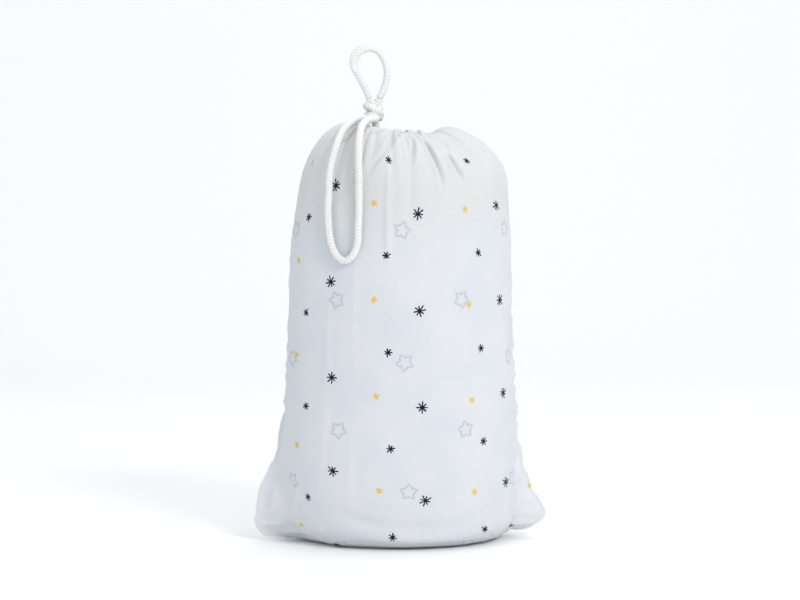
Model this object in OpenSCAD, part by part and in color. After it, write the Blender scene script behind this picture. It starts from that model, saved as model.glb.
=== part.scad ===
// Drawstring fabric sack, filled with a folded blanket and tied shut at its mouth.
// The sack stands on its base: Z is up, the front faces -Y and the cord leaves on the -X side.
// The origin is the middle of the base, on the surface that the sack stands on.

/* [Sack body] */
// Height from the floor to the top of the shoulders
sack_h = 272; // [225:1:340]
// Width of the filled body at the foot
foot_w = 154; // [125:1:190]
// Depth of the filled body at the foot
foot_d = 112; // [90:1:140]
// Width of the filled body where the shoulders begin
shoulder_w = 137; // [110:1:170]
// Depth of the filled body where the shoulders begin
shoulder_d = 104; // [84:1:134]
// Height of the rounded shoulders
shoulder_h = 48; // [36:1:60]
// Radius of the rounding between the base and the walls
foot_r = 14; // [8:1:20]
// Thickness of the double gauze cloth
cloth_t = 1; // [0.6:0.1:1.6]

/* [Bottom corners] */
// How far a flat bottom corner reaches beyond the side of the foot
corner_out = 18; // [14:1:30]
// Height of the tip of a bottom corner
corner_lift = 15; // [6:1:22]
// Height at which a corner has merged into the side of the body
corner_top = 66; // [50:1:90]

/* [Seams] */
// Thickness of the seam allowance between the two panels
seam_t = 1.6; // [1.2:0.1:2.4]
// Height of the ridge that a side seam makes
seam_ridge = 1.8; // [1.4:0.1:2.4]
// How far a seam's stitches go into each panel
seam_bite = 0.4; // [0.2:0.1:0.5]

/* [Mouth] */
// Radius of the gathered mouth
mouth_r = 20; // [18:0.5:26]
// Radius of the cloth as it rolls over into the mouth
lip_r = 9; // [6:0.5:12]
// How far the front and back of the mouth dip below the shoulders
mouth_dip = 6; // [0:0.5:9]
// Clearance between the cord and the casing's walls on each side of it
side_clear = 0.5; // [0.4:0.05:1]
// Clearance between the cord and the casing above and below it
rise_clear = 0.75; // [0.4:0.05:1.5]
// Diameter of a stitching thread
thread_d = 0.6; // [0.4:0.1:0.8]
// Length of one stitch
stitch_l = 2.4; // [1.6:0.2:3.2]
// Number of stitches in the row round each casing half
stitch_count = 14; // [8:1:18]

/* [Drawcord] */
// Diameter of the braided cord
cord_d = 4.5; // [3.5:0.1:5]
// Space between the two strands where they leave the casing
strand_gap = 0.7; // [0.5:0.1:1.2]
// Clearance between the strands and the cloth on each side of them
cord_clear = 0.5; // [0.4:0.1:0.8]
// Width of the knot
knot_w = 14; // [13:0.5:16]
// Height of the knot
knot_h = 9.5; // [9:0.5:11]

/* [Contents] */
// Clearance between the folded blanket and the cloth
fill_clear = 2; // [1.5:0.5:4]
// Radius of the rounding at the bottom of the folded blanket
fill_foot_r = 22; // [18:1:30]
// Height of the rounded top of the folded blanket
fill_crown_h = 34; // [24:1:40]
// Distance from the casing down to the folded blanket
fill_drop = 2; // [1:0.5:6]

/* [Hidden] */

cloth_color = [0.93, 0.94, 0.96];
seam_color = [0.86, 0.88, 0.91];
thread_color = [0.98, 0.98, 0.97];
cord_color = [0.91, 0.91, 0.9];
blanket_color = [0.82, 0.86, 0.91];

// Half the distance between the outer faces of the two panels at a seam
edge = seam_t / 2 + cloth_t;
shoulder_z = sack_h - shoulder_h;
crest_r = mouth_r + lip_r;
front_crest_z = sack_h - mouth_dip;
throat_z = front_crest_z - lip_r;
// Squareness of the shoulders: 2 is an ellipse
shoulder_power = 2.15;

corner_reach = foot_w / 2 + corner_out;

cord_r = cord_d / 2;
casing_h = cord_d + 2 * rise_clear + 2 * cloth_t;
casing_w = cord_d + 2 * side_clear + 2 * cloth_t;
casing_wall_r = mouth_r + cloth_t;
casing_bore_r = casing_wall_r - casing_w;
channel_r = casing_wall_r - casing_w / 2;
casing_z = throat_z - casing_h;
channel_z = throat_z - casing_h / 2;
// Distance of the two strands from the middle of the mouth, clear of the seam's ridge
strand_x = mouth_r - seam_ridge - cord_clear - cord_r;
strand_y = cord_r + strand_gap / 2;
opening_half = strand_y + cord_r + cord_clear;

knot_x = -18;
knot_z = sack_h + seam_ridge + cord_clear;
knot_top = knot_z + knot_h;

ring_steps = 24;
flange_steps = 4;
side_count = 12;

// Routes of the two free loops of cord, from the knot and back to the knot
standing_route = [
  [-20.5, 0, 287], [-22.5, -0.5, 292], [-25.5, -1, 298], [-28.5, -1.5, 303.5], [-30, -1.5, 309],
  [-29, -1.5, 314], [-25.5, -1, 318], [-20.5, -0.5, 319.5], [-15.5, 0, 318], [-11.5, 0.5, 313.5],
  [-9.5, 0.5, 308], [-9, 0.5, 302.5], [-10, 0.5, 297], [-12, 0, 291.5], [-14.5, 0, 287],
];
hanging_route = [
  [-22, -10, 273.4], [-26, -13.5, 274.2], [-30.5, -18, 273.1], [-35, -23.5, 270.2],
  [-39.5, -29.5, 265.2], [-43, -35, 257.5], [-46, -38.5, 248], [-48, -40.5, 237.5],
  [-48.5, -40.5, 226.5], [-49, -41, 215.5], [-48.5, -41.5, 204.5], [-47, -43, 194.5],
  [-43.5, -45, 187], [-39, -47.5, 184], [-34.5, -49.5, 186.5], [-31, -50.5, 194.5],
  [-30.5, -50.5, 204.5], [-30, -50.5, 215.5], [-30, -50, 226.5], [-30, -49, 237.5],
  [-30, -46.5, 248], [-29.5, -42, 258], [-28, -34.5, 266.5], [-25.5, -26, 270.9],
  [-22, -19, 272.8], [-18.5, -14, 273.2], [-17, -10, 273],
];

function lerp(a, b, t) = a + (b - a) * t;
function unit(p) = p / norm(p);
function clamp(a, low, high) = min(max(a, low), high);

// The foot rounding's set-back at height z
function round_in(z, r) = z >= r ? 0 : r - sqrt(r * r - (r - z) * (r - z));
function wall(foot, shoulder, z) = lerp(foot, shoulder, clamp(z / shoulder_z, 0, 1)) / 2;
function half_w(z) = wall(foot_w, shoulder_w, z) - round_in(z, foot_r);
function half_d(z) = wall(foot_d, shoulder_d, z) - round_in(z, foot_r);

// Stations up the cloth from the bottom seam to the mouth. Each is
// [half depth, height at the middle, half width, height at the side, share of the corner passed].
base_run = foot_d / 2 - foot_r - edge;
arc_run = foot_r * PI / 2;
corner_run = base_run + arc_run + corner_top - foot_r;

function low_station(d, z, run) =
  let (q = min(run / corner_run, 1), side_z = q < 1 ? corner_top * pow(q, 2.5) : z)
  [d, z, half_w(side_z), side_z, q];
function shoulder_station(a) =
  let (
    out = pow(cos(a), 2 / shoulder_power),
    up = pow(sin(a), 2 / shoulder_power)
  )
  [
    lerp(crest_r, shoulder_d / 2, out), lerp(shoulder_z, front_crest_z, up),
    lerp(crest_r, shoulder_w / 2, out), lerp(shoulder_z, sack_h, up), 1
  ];
function throat_station(a) =
  let (r = mouth_r + lip_r * (1 - sin(a)), drop = 1 - cos(a))
  [r, front_crest_z - lip_r * drop, r, sack_h - (lip_r + mouth_dip) * drop, 1];

wall_steps = 9;
stations = concat(
  [for (i = [0:3]) low_station(edge + base_run * i / 4, 0, base_run * i / 4)],
  [
    for (a = [0:22.5:67.5])
      low_station(half_d(foot_r) - foot_r * (1 - sin(a)), foot_r * (1 - cos(a)),
        base_run + foot_r * a * PI / 180)
  ],
  [
    for (i = [0:wall_steps - 1])
      let (z = lerp(foot_r, shoulder_z, i / wall_steps))
      low_station(half_d(z), z, base_run + arc_run + z - foot_r)
  ],
  [for (a = [0:15:90]) shoulder_station(a)],
  [for (a = [22.5:22.5:90]) throat_station(a)]
);
last_station = len(stations) - 1;

// Direction that points out of the sack at the side of a station, as [x, z]
function side_out(i) =
  let (a = stations[max(i - 1, 0)], b = stations[min(i + 1, last_station)])
  unit([b[3] - a[3], a[2] - b[2]]);
// The seam's place at a station, as [x, z]
function seam_place(i) =
  let (s = stations[i], q = s[4])
  q < 1
    ? [
        lerp(corner_reach, half_w(corner_top) + seam_ridge, pow(q, 0.9)),
        lerp(corner_lift, corner_top, q)
      ]
    : [s[2], s[3]] + seam_ridge * side_out(i);

// Outer face of the front panel at a station, a turn of -90 to 90 degrees across it
function body_point(s, turn) =
  let (bend = s[4] < 1 ? 6 : 2)
  [
    s[2] * sin(turn),
    -edge - (s[0] - edge) * cos(turn),
    lerp(s[1], s[3], pow(abs(sin(turn)), bend))
  ];
// Outer face of the flat cloth between the body and the seam, on the side given by its sign
function flange_point(i, side, t) =
  let (s = stations[i], e = seam_place(i), droop = lerp(3, 1, s[4]))
  [side * lerp(s[2], e[0], t), -edge, lerp(s[3], e[1], pow(t, droop))];

outer_grid = [
  for (i = [0:last_station]) concat(
    [for (k = [flange_steps:-1:1]) flange_point(i, -1, k / flange_steps)],
    [for (k = [0:ring_steps]) body_point(stations[i], lerp(-90, 90, k / ring_steps))],
    [for (k = [1:flange_steps]) flange_point(i, 1, k / flange_steps)]
  )
];

// Inward normal of a grid of points, from its neighbours
function inward(g, i, j) =
  let (
    up = g[min(i + 1, len(g) - 1)][j] - g[max(i - 1, 0)][j],
    along = g[i][min(j + 1, len(g[0]) - 1)] - g[i][max(j - 1, 0)]
  )
  unit(cross(up, along));

// A sheet of even thickness behind a grid of points
module thick_sheet(g, t) {
  rows = len(g);
  cols = len(g[0]);
  inner = [for (i = [0:rows - 1]) [for (j = [0:cols - 1]) g[i][j] + t * inward(g, i, j)]];
  points = [for (row = concat(g, inner)) each row];
  back = rows * cols;
  quads = [
    for (i = [0:rows - 2]) for (j = [0:cols - 2])
      let (p = i * cols + j) each [
        [p, p + cols, p + cols + 1, p + 1],
        [back + p, back + p + 1, back + p + cols + 1, back + p + cols]
      ]
  ];
  ends = [
    for (j = [0:cols - 2])
      let (p = j, q = (rows - 1) * cols + j) each [
        [p, p + 1, back + p + 1, back + p],
        [q, back + q, back + q + 1, q + 1]
      ]
  ];
  sides = [
    for (i = [0:rows - 2])
      let (p = i * cols, q = i * cols + cols - 1) each [
        [p, back + p, back + p + cols, p + cols],
        [q, q + cols, back + q + cols, back + q]
      ]
  ];
  faces = [for (f = concat(quads, ends, sides)) each [[f[0], f[1], f[2]], [f[0], f[2], f[3]]]];
  polyhedron(points, faces);
}

// A closed solid through a list of rings, each with the same number of points
module skin(rings) {
  n = len(rings[0]);
  last = (len(rings) - 1) * n;
  points = [for (ring = rings) each ring];
  walls = [
    for (i = [0:len(rings) - 2]) for (j = [0:n - 1])
      let (p = i * n, q = (i + 1) * n, k = (j + 1) % n) each [
        [p + j, q + k, p + k],
        [p + j, q + j, q + k]
      ]
  ];
  caps = [[for (j = [0:n - 1]) j], [for (j = [n - 1:-1:0]) last + j]];
  polyhedron(points, concat(walls, caps));
}

// Direction of a route at one of its points
function heading(route, i) = unit(route[min(i + 1, len(route) - 1)] - route[max(i - 1, 0)]);

// A round cord along a route; its rings are turned from the fixed direction "up"
module cord(route, up) {
  skin([
    for (i = [0:len(route) - 1])
      let (
        ahead = heading(route, i),
        right = unit(cross(ahead, up)),
        rise = cross(right, ahead)
      )
      [
        for (k = [0:side_count - 1])
          let (a = -360 * k / side_count)
          route[i] + cord_r * (cos(a) * right + sin(a) * rise)
      ]
  ]);
}

module panel() {
  thick_sheet(outer_grid, cloth_t);
}

module front_panel() {
  color(cloth_color) panel();
}

module back_panel() {
  color(cloth_color) mirror([0, 1, 0]) panel();
}

// The stitched seam allowance between the panels, from a bottom corner to the mouth
module side_seam() {
  depth = seam_t / 2 + seam_bite;
  skin([
    for (i = [0:last_station])
      let (
        e = seam_place(i),
        d = i == 0 ? unit([1, -0.6]) : unit(e - [stations[i][2], stations[i][3]]),
        inner = e - seam_ridge * d
      )
      [
        [e[0], -depth, e[1]], [e[0], depth, e[1]],
        [inner[0], depth, inner[1]], [inner[0], -depth, inner[1]]
      ]
  ]);
}

module right_side_seam() {
  color(seam_color) side_seam();
}

module left_side_seam() {
  color(seam_color) mirror([1, 0, 0]) side_seam();
}

// The seam along the base, from one bottom corner to the other
module bottom_seam() {
  bite = seam_bite + cloth_t;
  lift = 0.2;
  row = outer_grid[0];
  n = len(row) - 1;
  color(seam_color)
    skin([
      for (j = [1:n - 1])
        let (
          flat = j > flange_steps && j < n - flange_steps,
          depth = flat ? seam_t / 2 + bite : seam_t / 2 + seam_bite,
          p = row[j] + [0, 0, lift]
        )
        [
          [p[0], -depth, p[2]], [p[0], depth, p[2]],
          [p[0], depth, p[2] + seam_ridge], [p[0], -depth, p[2] + seam_ridge]
        ]
    ]);
}

// The channel that the hem makes round the mouth, open where the cord leaves it
module casing() {
  tube_w = casing_w - 2 * cloth_t;
  tube_h = casing_h - 2 * cloth_t;
  difference() {
    rotate_extrude($fn = 96)
      difference() {
        translate([casing_bore_r, casing_z]) square([casing_w, casing_h + seam_bite]);
        translate([casing_bore_r + cloth_t, casing_z + cloth_t]) square([tube_w, tube_h]);
      }
    cord_opening();
  }
}

module cord_opening() {
  size = casing_wall_r + 1;
  translate([-size, -opening_half, casing_z - 1])
    cube([size, 2 * opening_half, casing_h + lip_r]);
}

module half_space(side) {
  size = 2 * casing_wall_r + 2;
  translate([-size / 2, side > 0 ? 0 : -size, casing_z - 2]) cube([size, size, casing_h + 4]);
}

module front_casing() {
  color(cloth_color) intersection() {
    casing();
    half_space(-1);
  }
}

module back_casing() {
  color(cloth_color) intersection() {
    casing();
    half_space(1);
  }
}

// A row of separate stitches round the inner wall of the casing
module casing_stitching() {
  reach = casing_bore_r - thread_d / 2;
  start = asin(opening_half / reach) + 12;
  color(thread_color)
    for (side = [-1, 1])
      for (k = [0:stitch_count - 1])
        rotate(180 + side * lerp(start, 174, k / (stitch_count - 1)))
          translate([reach, 0, casing_z + 2 * cloth_t])
            cube([thread_d, stitch_l, thread_d], center = true);
}

// Bars of close stitches that stop the casing tearing on each side of the cord opening
module cord_opening_tacks() {
  color(thread_color)
    for (side = [-1, 1])
      translate([
        -sqrt(pow(casing_bore_r, 2) - pow(opening_half + 2 * thread_d, 2)) + thread_d / 4,
        side * (opening_half + thread_d), casing_z + cloth_t
      ])
        cylinder(d = 1.5 * thread_d, h = casing_h - 2 * cloth_t, $fn = 20);
}

// The part of the cord that the casing holds
module drawcord() {
  color(cord_color)
    difference() {
      translate([0, 0, channel_z])
        rotate_extrude($fn = 96) translate([channel_r, 0]) circle(d = cord_d, $fn = 32);
      cord_opening();
    }
}

// The two strands that rise from the casing to the knot
module cord_strands() {
  color(cord_color)
    for (side = [-1, 1])
      translate([-strand_x, side * strand_y, casing_z + 1])
        cylinder(d = cord_d, h = knot_z - casing_z - 1, $fn = 32);
}

// Overhand knot in the doubled cord: wraps of cord round a tight core
module knot() {
  wrap_r = knot_w / 2 - cord_r;
  color(cord_color)
    translate([knot_x, 0, knot_z])
      union() {
        cylinder(r = wrap_r + 0.8, h = knot_h, $fn = 48);
        for (z = [cord_r, knot_h / 2, knot_h - cord_r])
          translate([0, 0, z])
            rotate_extrude($fn = 48) translate([wrap_r, 0]) circle(d = cord_d, $fn = 32);
      }
}

module standing_loop() {
  color(cord_color) cord(standing_route, [0, 1, 0]);
}

module hanging_loop() {
  color(cord_color) cord(hanging_route, [0.5, 1, 0.3]);
}

// The blanket, folded and rolled, that fills the sack
module folded_blanket() {
  bottom = cloth_t + fill_clear;
  top = casing_z - fill_drop;
  crown_z = top - fill_crown_h;
  levels = concat(
    [for (a = [10:20:90]) bottom + fill_foot_r * (1 - cos(a))],
    [for (k = [1:5]) lerp(bottom + fill_foot_r, crown_z, k / 5)],
    [for (a = [15:15:75]) crown_z + fill_crown_h * sin(a)]
  );
  inset = cloth_t + fill_clear;
  color(blanket_color)
    skin([
      for (z = levels)
        let (
          foot_in = round_in(z - bottom, fill_foot_r),
          shrink = z > crown_z ? sqrt(1 - pow((z - crown_z) / fill_crown_h, 2)) : 1,
          w = (wall(foot_w, shoulder_w, z) - inset - foot_in) * shrink,
          d = (wall(foot_d, shoulder_d, z) - inset - foot_in) * shrink
        )
        [for (k = [0:47]) [w * cos(7.5 * k), d * sin(7.5 * k), z]]
    ]);
}

front_panel();
back_panel();
left_side_seam();
right_side_seam();
bottom_seam();
front_casing();
back_casing();
casing_stitching();
cord_opening_tacks();
drawcord();
cord_strands();
knot();
standing_loop();
hanging_loop();
folded_blanket();
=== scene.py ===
"""Looks for a gauze drawstring sack, filled with a folded blanket and tied shut.

Lengths are in millimetres while a shape is worked out, and in metres once it is a mesh.
The sack's cloth is two grids of points, one for each panel. A panel's place across is "a", from -1
at the left side seam to 1 at the right one, and its place up is "b", from 0 at the bottom seam to 1
at the mouth.
"""

import math

import bpy
import numpy as np
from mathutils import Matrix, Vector


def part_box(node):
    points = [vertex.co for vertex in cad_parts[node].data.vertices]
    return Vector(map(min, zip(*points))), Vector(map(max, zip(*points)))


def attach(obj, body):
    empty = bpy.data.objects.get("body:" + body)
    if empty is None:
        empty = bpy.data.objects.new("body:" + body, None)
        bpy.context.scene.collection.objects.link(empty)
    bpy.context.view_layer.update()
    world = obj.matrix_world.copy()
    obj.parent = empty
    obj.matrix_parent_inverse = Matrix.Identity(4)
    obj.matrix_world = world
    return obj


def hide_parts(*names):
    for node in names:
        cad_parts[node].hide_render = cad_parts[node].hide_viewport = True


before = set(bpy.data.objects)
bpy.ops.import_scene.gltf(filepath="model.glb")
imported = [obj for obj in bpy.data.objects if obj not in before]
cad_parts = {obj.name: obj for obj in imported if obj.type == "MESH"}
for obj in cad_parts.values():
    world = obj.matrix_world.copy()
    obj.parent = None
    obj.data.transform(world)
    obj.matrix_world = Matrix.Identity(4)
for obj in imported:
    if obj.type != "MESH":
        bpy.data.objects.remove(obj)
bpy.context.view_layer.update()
MM = 0.001

# ---------------------------------------------------------------- sizes, in millimetres

CORD_D = 4.5
FLAT_W = 200.0
FLAT_H = 334.0
CLOTH_T = 0.7
MOUTH_R = 20.0
SEAM_R = 0.75

# Length of one strand's crossing in the cord's braid, and step between the rings of a cord's mesh
BRAID_PITCH = 2.1
RING_STEP = 0.42

# Millimetres to one unit of the flat map of the cloth, and of a cord
MAP_UNIT = 100.0
CORD_MAP_UNIT = 10.0

# Repeat of the print across and up
PRINT_ACROSS, PRINT_UP = 63.0, 60.8

# Place on the front's flat cloth of one big mark, and of one of the stars that show through it
PRINT_AT = (8.0, 199.4)
GHOST_AT = (-2.3, 167.0)

# Outline of the filled sack, from the bottom seam up to the mouth. Each row gives the depth and
# height of the cloth at the middle of the front, the half width of the body on the left and on the
# right with the height there, and the place of the left and right seam as (x, z).
ROWS = [
    # depth, z_mid, w_left, w_right, z_side, seam_left, seam_right
    (1.0, 0.0, 62.0, 62.0, 0.0, (89.0, 3.0), (84.0, 6.0)),
    (24.0, 0.0, 63.5, 63.5, 1.0, (94.5, 9.5), (94.8, 15.0)),
    (42.0, 0.8, 67.0, 67.0, 4.0, (95.3, 18.0), (90.0, 26.0)),
    (51.0, 5.0, 71.0, 70.5, 10.0, (93.5, 28.0), (86.0, 33.0)),
    (55.0, 13.0, 74.0, 73.0, 18.0, (89.5, 39.0), (82.5, 41.0)),
    (56.0, 28.0, 75.5, 74.5, 32.0, (84.5, 52.0), (79.5, 52.0)),
    (56.2, 55.0, 76.0, 75.5, 60.0, (79.5, 70.0), (77.5, 68.0)),
    (55.5, 90.0, 74.5, 74.0, 92.0, (75.7, 94.0), (75.2, 93.0)),
    (54.0, 145.0, 72.0, 71.5, 145.0, (72.8, 145.5), (72.3, 145.5)),
    (53.0, 190.0, 70.5, 71.5, 190.0, (71.3, 190.5), (72.3, 190.5)),
    (51.0, 220.0, 66.5, 69.5, 220.0, (67.4, 220.5), (70.4, 220.5)),
    (47.0, 240.0, 61.5, 66.5, 242.0, (62.3, 242.5), (67.4, 242.5)),
    (39.5, 255.0, 54.0, 57.0, 257.0, (54.6, 257.8), (57.6, 257.8)),
    (32.0, 262.8, 45.0, 43.5, 266.5, (45.4, 267.4), (43.9, 267.4)),
    (26.5, 265.0, 34.0, 32.0, 270.5, (34.0, 271.5), (32.0, 271.5)),
    (22.0, 263.0, 25.5, 24.5, 267.5, (24.8, 268.2), (23.8, 268.2)),
    (20.0, 257.0, 20.0, 20.0, 257.2, (19.2, 257.2), (19.2, 257.2)),
]

# Routes of the two free loops of cord, as in the CAD
STANDING_ROUTE = [
    (-20.5, 0, 287), (-22.5, -0.5, 292), (-25.5, -1, 298), (-28.5, -1.5, 303.5), (-30, -1.5, 309),
    (-29, -1.5, 314), (-25.5, -1, 318), (-20.5, -0.5, 319.5), (-15.5, 0, 318), (-11.5, 0.5, 313.5),
    (-9.5, 0.5, 308), (-9, 0.5, 302.5), (-10, 0.5, 297), (-12, 0, 291.5), (-14.5, 0, 287),
]
HANGING_ROUTE = [
    (-22, -10, 273.4), (-26, -13.5, 274.2), (-30.5, -18, 273.1), (-35, -23.5, 270.2),
    (-39.5, -29.5, 265.2), (-43, -35, 257.5), (-46, -38.5, 248), (-48, -40.5, 237.5),
    (-48.5, -40.5, 226.5), (-49, -41, 215.5), (-48.5, -41.5, 204.5), (-47, -43, 194.5),
    (-43.5, -45, 187), (-39, -47.5, 184), (-34.5, -49.5, 186.5), (-31, -50.5, 194.5),
    (-30.5, -50.5, 204.5), (-30, -50.5, 215.5), (-30, -50, 226.5), (-30, -49, 237.5),
    (-30, -46.5, 248), (-29.5, -42, 258), (-28, -34.5, 266.5), (-25.5, -26, 270.9),
    (-22, -19, 272.8), (-18.5, -14, 273.2), (-17, -10, 273),
]

# ---------------------------------------------------------------- stage and camera

CAMERA_AWAY = 1.5
CAMERA_HEIGHT = 0.237
CAMERA_TURN = math.radians(4)
VIEW_WIDTH = 0.520
AIM_AT = Vector((-0.0007, 0, 0.1565))


def make_camera():
    data = bpy.data.cameras.new("camera")
    camera = bpy.data.objects.new("camera", data)
    bpy.context.scene.collection.objects.link(camera)
    camera.location = (
        -CAMERA_AWAY * math.sin(CAMERA_TURN), -CAMERA_AWAY * math.cos(CAMERA_TURN), CAMERA_HEIGHT,
    )
    camera.rotation_euler = (AIM_AT - camera.location).to_track_quat("-Z", "Y").to_euler()
    data.sensor_width = 36
    data.lens = 36 * CAMERA_AWAY / VIEW_WIDTH
    data.clip_end = 30
    bpy.context.scene.camera = camera


def area_light(name, at, size, power, colour):
    """A round soft light that faces the sack."""
    data = bpy.data.lights.new(name, "AREA")
    data.shape = "DISK"
    data.size = size
    data.energy = power
    data.color = colour
    light = bpy.data.objects.new(name, data)
    bpy.context.scene.collection.objects.link(light)
    light.location = at
    light.rotation_euler = (Vector((0, 0, 0.15)) - light.location).to_track_quat("-Z", "Y").to_euler()


def make_lights():
    world = bpy.data.worlds.new("studio")
    world.use_nodes = True
    background = world.node_tree.nodes["Background"]
    background.inputs["Color"].default_value = (0.93, 0.965, 1.0, 1)
    background.inputs["Strength"].default_value = 0.83
    bpy.context.scene.world = world
    bpy.context.scene.view_settings.view_transform = "Standard"
    area_light("key", (0.9, -1.55, 1.3), 0.7, 16, (1, 0.96, 0.915))
    area_light("fill", (-1.6, -1.2, 0.9), 1.4, 0.5, (0.88, 0.94, 1))
    area_light("top", (0.2, 0.3, 1.9), 1.0, 8, (1, 0.99, 0.97))


def make_floor():
    """A pale floor that curves up behind the object."""
    reach, bend, rise = 2.4, 0.6, 2.2
    profile = [(-reach, 0.0), (1.2, 0.0)]
    steps = 12
    for i in range(1, steps + 1):
        angle = math.pi / 2 * i / steps
        profile.append((1.2 + bend * math.sin(angle), bend * (1 - math.cos(angle))))
    profile.append((1.2 + bend, rise))
    points = [(x, y, z) for y, z in profile for x in (-reach, reach)]
    faces = [(2 * i, 2 * i + 1, 2 * i + 3, 2 * i + 2) for i in range(len(profile) - 1)]
    mesh = bpy.data.meshes.new("floor")
    mesh.from_pydata(points, [], faces)
    mesh.polygons.foreach_set("use_smooth", [True] * len(faces))
    floor = bpy.data.objects.new("floor", mesh)
    bpy.context.scene.collection.objects.link(floor)
    material = bpy.data.materials.new("floor")
    material.use_nodes = True
    shader = material.node_tree.nodes["Principled BSDF"]
    shader.inputs["Base Color"].default_value = (0.93, 0.93, 0.93, 1)
    shader.inputs["Roughness"].default_value = 0.9
    mesh.materials.append(material)


# ---------------------------------------------------------------- curves and grids


def spline(points, count):
    """Evenly spaced points on a smooth curve through the given ones."""
    p = np.array(points, float)
    p = np.vstack([2 * p[0] - p[1], p, 2 * p[-1] - p[-2]])
    fine = []
    for i in range(1, len(p) - 2):
        for t in np.linspace(0, 1, 24, endpoint=False):
            fine.append(0.5 * (
                2 * p[i] + (p[i + 1] - p[i - 1]) * t
                + (2 * p[i - 1] - 5 * p[i] + 4 * p[i + 1] - p[i + 2]) * t ** 2
                + (3 * p[i] - p[i - 1] - 3 * p[i + 1] + p[i + 2]) * t ** 3
            ))
    fine.append(p[-2])
    return evenly(np.array(fine), count)


def along(points):
    """Distance of each point from the first one, along the line."""
    steps = np.linalg.norm(np.diff(points, axis=0), axis=1)
    return np.concatenate([[0], np.cumsum(steps)])


def evenly(points, count):
    """Evenly spaced points on a line of points."""
    s = along(points)
    at = np.linspace(0, s[-1], count)
    return np.stack([np.interp(at, s, points[:, k]) for k in range(points.shape[1])], axis=1)


def smooth(low, high, x):
    """A soft step from 0 at low to 1 at high."""
    t = np.clip((x - low) / (high - low), 0, 1)
    return t * t * (3 - 2 * t)


def noise_1d(x, seed):
    """Smooth noise from -1 to 1 along a line, the same each run."""
    values = np.random.default_rng(seed).uniform(-1, 1, 512)
    cell = np.floor(x).astype(int)
    t = x - cell
    t = t * t * (3 - 2 * t)
    return values[cell % 512] * (1 - t) + values[(cell + 1) % 512] * t


def noise_2d(x, y, seed):
    """Smooth noise from -1 to 1 over a plane, the same each run."""
    values = np.random.default_rng(seed).uniform(-1, 1, (64, 64))
    i, j = np.floor(x).astype(int), np.floor(y).astype(int)
    u, v = x - i, y - j
    u, v = u * u * (3 - 2 * u), v * v * (3 - 2 * v)
    low = values[i % 64, j % 64] * (1 - u) + values[(i + 1) % 64, j % 64] * u
    high = values[i % 64, (j + 1) % 64] * (1 - u) + values[(i + 1) % 64, (j + 1) % 64] * u
    return low * (1 - v) + high * v


def mesh_object(name, points, faces, material, uvs=None):
    """A smooth-shaded object from points in millimetres."""
    mesh = bpy.data.meshes.new(name)
    mesh.from_pydata([tuple(p) for p in np.asarray(points) * MM], [], faces)
    mesh.polygons.foreach_set("use_smooth", [True] * len(mesh.polygons))
    if uvs is not None:
        layer = mesh.uv_layers.new(name="flat")
        corners = np.zeros(len(mesh.loops), int)
        mesh.loops.foreach_get("vertex_index", corners)
        layer.data.foreach_set("uv", np.asarray(uvs)[corners].ravel())
    mesh.materials.append(material)
    piece = bpy.data.objects.new(name, mesh)
    bpy.context.scene.collection.objects.link(piece)
    return piece


def grid_faces(rows, cols, flip=False, wrap=False):
    faces = []
    for i in range(rows - 1):
        for j in range(cols if wrap else cols - 1):
            k = (j + 1) % cols
            face = (i * cols + j, i * cols + k, (i + 1) * cols + k, (i + 1) * cols + j)
            faces.append(face[::-1] if flip else face)
    return faces


def grid_normals(g):
    """Normals of a grid of points that face out of a front panel."""
    up = np.gradient(g, axis=0)
    across = np.gradient(g, axis=1)
    n = np.cross(across, up)
    return n / np.maximum(np.linalg.norm(n, axis=2, keepdims=True), 1e-9)


def finer(g, factor, axis):
    """More points on a grid, on smooth curves through the ones it has."""
    g = np.moveaxis(g, axis, 0)
    n = len(g)
    at = np.linspace(0, n - 1, (n - 1) * factor + 1)
    i = np.minimum(at.astype(int), n - 2)
    t = (at - i).reshape(-1, *([1] * (g.ndim - 1)))
    p = np.concatenate([2 * g[:1] - g[1:2], g, 2 * g[-1:] - g[-2:-1]])
    a, b, c, d = p[i], p[i + 1], p[i + 2], p[i + 3]
    out = 0.5 * (
        2 * b + (c - a) * t + (2 * a - 5 * b + 4 * c - d) * t ** 2 + (3 * b - a - 3 * c + d) * t ** 3
    )
    return np.moveaxis(out, 0, axis)


# ---------------------------------------------------------------- the sack's cloth

# Points of a panel's grid, the finer steps between them, and how far the settling may move a point
COLS, GRID_ROWS = ((81, 101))
FINER_UP, FINER_ACROSS = 2, 3
FARTHEST = 7.0


def outline_rows(count):
    """The outline's rows at even steps up the middle of the cloth."""
    table = np.array([(d, z, wl, wr, zs, *sl, *sr) for d, z, wl, wr, zs, sl, sr in ROWS], float)
    dense = []
    p = np.vstack([2 * table[0] - table[1], table, 2 * table[-1] - table[-2]])
    for i in range(1, len(p) - 2):
        for t in np.linspace(0, 1, 16, endpoint=False):
            dense.append(0.5 * (
                2 * p[i] + (p[i + 1] - p[i - 1]) * t
                + (2 * p[i - 1] - 5 * p[i] + 4 * p[i + 1] - p[i + 2]) * t ** 2
                + (3 * p[i] - p[i - 1] - 3 * p[i + 1] + p[i + 2]) * t ** 3
            ))
    dense.append(p[-2])
    dense = np.array(dense)
    s = along(dense[:, :2])
    at = np.linspace(0, s[-1], count)
    rows = np.stack([np.interp(at, s, dense[:, k]) for k in range(dense.shape[1])], axis=1)
    return rows, s[-1]


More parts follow.
